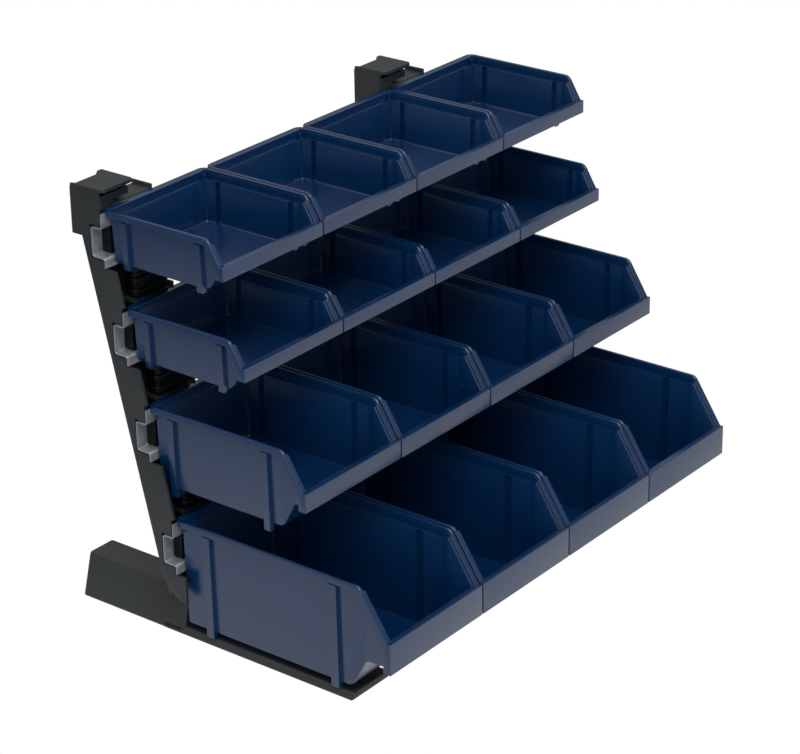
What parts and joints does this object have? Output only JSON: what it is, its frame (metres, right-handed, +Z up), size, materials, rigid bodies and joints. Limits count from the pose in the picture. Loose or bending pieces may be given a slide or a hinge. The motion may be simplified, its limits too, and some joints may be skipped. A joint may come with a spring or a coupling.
{
  "type": "bench bin rack",
  "caption": "Bench-top rack with stepped rows of open-front storage bins hooked on steel rails between two leaning uprights.",
  "frame": {"origin": "middle of the footprint, on the bench", "axes": "+X along the rows to the right as seen from the front, +Y towards the rear, +Z up; the bin fronts face -Y"},
  "size_m": [0.426, 0.287, 0.3284],
  "materials": {
    "bin_plastic": "moulded, light sheen",
    "frame_plastic": "moulded, matte",
    "black_plastic": "moulded, satin",
    "rail_steel": "galvanised",
    "zinc_screws": "zinc plated",
    "pad_rubber": "matte"
  },
  "bodies": {
    "rack": {"foot_left": "frame_plastic", "foot_right": "frame_plastic", "pads_left": "pad_rubber", "pads_right": "pad_rubber", "upright_left": "frame_plastic", "upright_right": "frame_plastic", "cap_left": "frame_plastic", "cap_right": "frame_plastic", "holders_left": "black_plastic", "holders_right": "black_plastic", "rings_left": "black_plastic", "rings_right": "black_plastic", "clips_left": "black_plastic", "clips_right": "black_plastic", "rail_screws_left": "zinc_screws", "rail_screws_right": "zinc_screws", "foot_screws_left": "zinc_screws", "foot_screws_right": "zinc_screws", "rail_row1": "rail_steel", "rail_row2": "rail_steel", "rail_row3": "rail_steel", "rail_row4": "rail_steel"},
    "bin_r1_c1": {"bin_r1_c1": "bin_plastic"},
    "bin_r1_c2": {"bin_r1_c2": "bin_plastic"},
    "bin_r1_c3": {"bin_r1_c3": "bin_plastic"},
    "bin_r1_c4": {"bin_r1_c4": "bin_plastic"},
    "bin_r2_c1": {"bin_r2_c1": "bin_plastic"},
    "bin_r2_c2": {"bin_r2_c2": "bin_plastic"},
    "bin_r2_c3": {"bin_r2_c3": "bin_plastic"},
    "bin_r2_c4": {"bin_r2_c4": "bin_plastic"},
    "bin_r3_c1": {"bin_r3_c1": "bin_plastic"},
    "bin_r3_c2": {"bin_r3_c2": "bin_plastic"},
    "bin_r3_c3": {"bin_r3_c3": "bin_plastic"},
    "bin_r3_c4": {"bin_r3_c4": "bin_plastic"},
    "bin_r4_c1": {"bin_r4_c1": "bin_plastic"},
    "bin_r4_c2": {"bin_r4_c2": "bin_plastic"},
    "bin_r4_c3": {"bin_r4_c3": "bin_plastic"},
    "bin_r4_c4": {"bin_r4_c4": "bin_plastic"}
  },
  "joints": [
    {"name": "lift_r1_c1", "type": "slide", "parent": "rack", "child": "bin_r1_c1", "axis": [0, 0, 1], "range_m": [0, 0.01]},
    {"name": "lift_r1_c2", "type": "slide", "parent": "rack", "child": "bin_r1_c2", "axis": [0, 0, 1], "range_m": [0, 0.01]},
    {"name": "lift_r1_c3", "type": "slide", "parent": "rack", "child": "bin_r1_c3", "axis": [0, 0, 1], "range_m": [0, 0.01]},
    {"name": "lift_r1_c4", "type": "slide", "parent": "rack", "child": "bin_r1_c4", "axis": [0, 0, 1], "range_m": [0, 0.01]},
    {"name": "lift_r2_c1", "type": "slide", "parent": "rack", "child": "bin_r2_c1", "axis": [0, 0, 1], "range_m": [0, 0.01]},
    {"name": "lift_r2_c2", "type": "slide", "parent": "rack", "child": "bin_r2_c2", "axis": [0, 0, 1], "range_m": [0, 0.01]},
    {"name": "lift_r2_c3", "type": "slide", "parent": "rack", "child": "bin_r2_c3", "axis": [0, 0, 1], "range_m": [0, 0.01]},
    {"name": "lift_r2_c4", "type": "slide", "parent": "rack", "child": "bin_r2_c4", "axis": [0, 0, 1], "range_m": [0, 0.01]},
    {"name": "lift_r3_c1", "type": "slide", "parent": "rack", "child": "bin_r3_c1", "axis": [0, 0, 1], "range_m": [0, 0.01]},
    {"name": "lift_r3_c2", "type": "slide", "parent": "rack", "child": "bin_r3_c2", "axis": [0, 0, 1], "range_m": [0, 0.01]},
    {"name": "lift_r3_c3", "type": "slide", "parent": "rack", "child": "bin_r3_c3", "axis": [0, 0, 1], "range_m": [0, 0.01]},
    {"name": "lift_r3_c4", "type": "slide", "parent": "rack", "child": "bin_r3_c4", "axis": [0, 0, 1], "range_m": [0, 0.01]},
    {"name": "lift_r4_c1", "type": "slide", "parent": "rack", "child": "bin_r4_c1", "axis": [0, 0, 1], "range_m": [0, 0.01]},
    {"name": "lift_r4_c2", "type": "slide", "parent": "rack", "child": "bin_r4_c2", "axis": [0, 0, 1], "range_m": [0, 0.01]},
    {"name": "lift_r4_c3", "type": "slide", "parent": "rack", "child": "bin_r4_c3", "axis": [0, 0, 1], "range_m": [0, 0.01]},
    {"name": "lift_r4_c4", "type": "slide", "parent": "rack", "child": "bin_r4_c4", "axis": [0, 0, 1], "range_m": [0, 0.01]}
  ]
}
